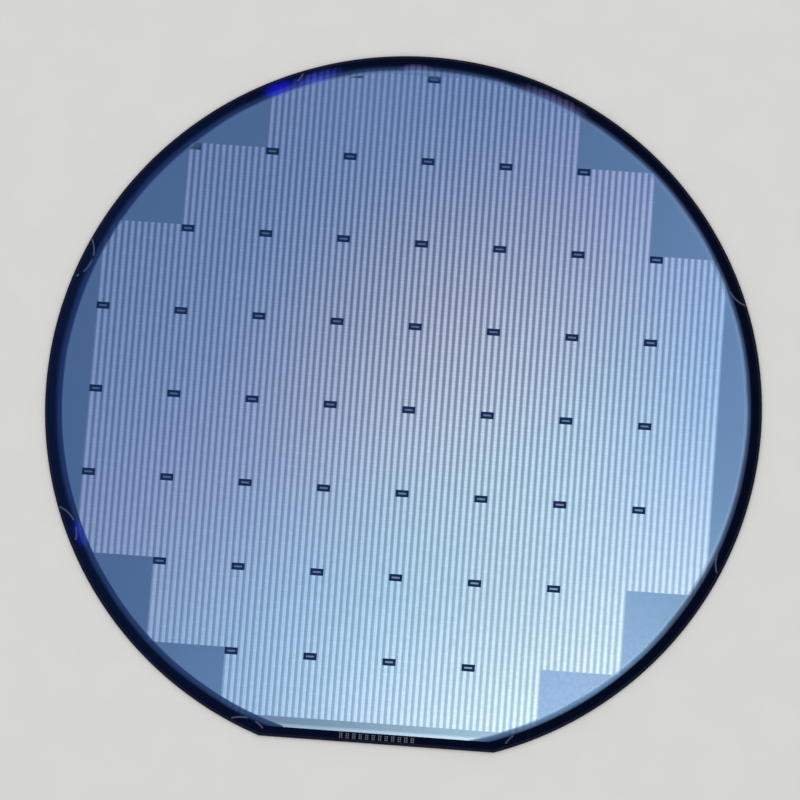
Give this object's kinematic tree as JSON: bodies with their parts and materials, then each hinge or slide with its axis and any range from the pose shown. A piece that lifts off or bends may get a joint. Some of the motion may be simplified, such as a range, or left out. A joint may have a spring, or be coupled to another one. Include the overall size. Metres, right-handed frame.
{
  "type": "semiconductor wafer",
  "caption": "Thin round silicon slice with one straight flat, ground edges, a bare rim, thin films and a printed grid of striped dies with dark test keys.",
  "frame": {"origin": "centre of the round edge, on the back face", "axes": "+Z out of the printed side, +X along the flat, -Y from the centre to the flat"},
  "size_m": [0.1, 0.0973, 0.0005],
  "materials": {
    "patterned_silicon": "polished silicon with blue thin films"
  },
  "bodies": {
    "root": {"wafer": "patterned_silicon"}
  },
  "joints": []
}
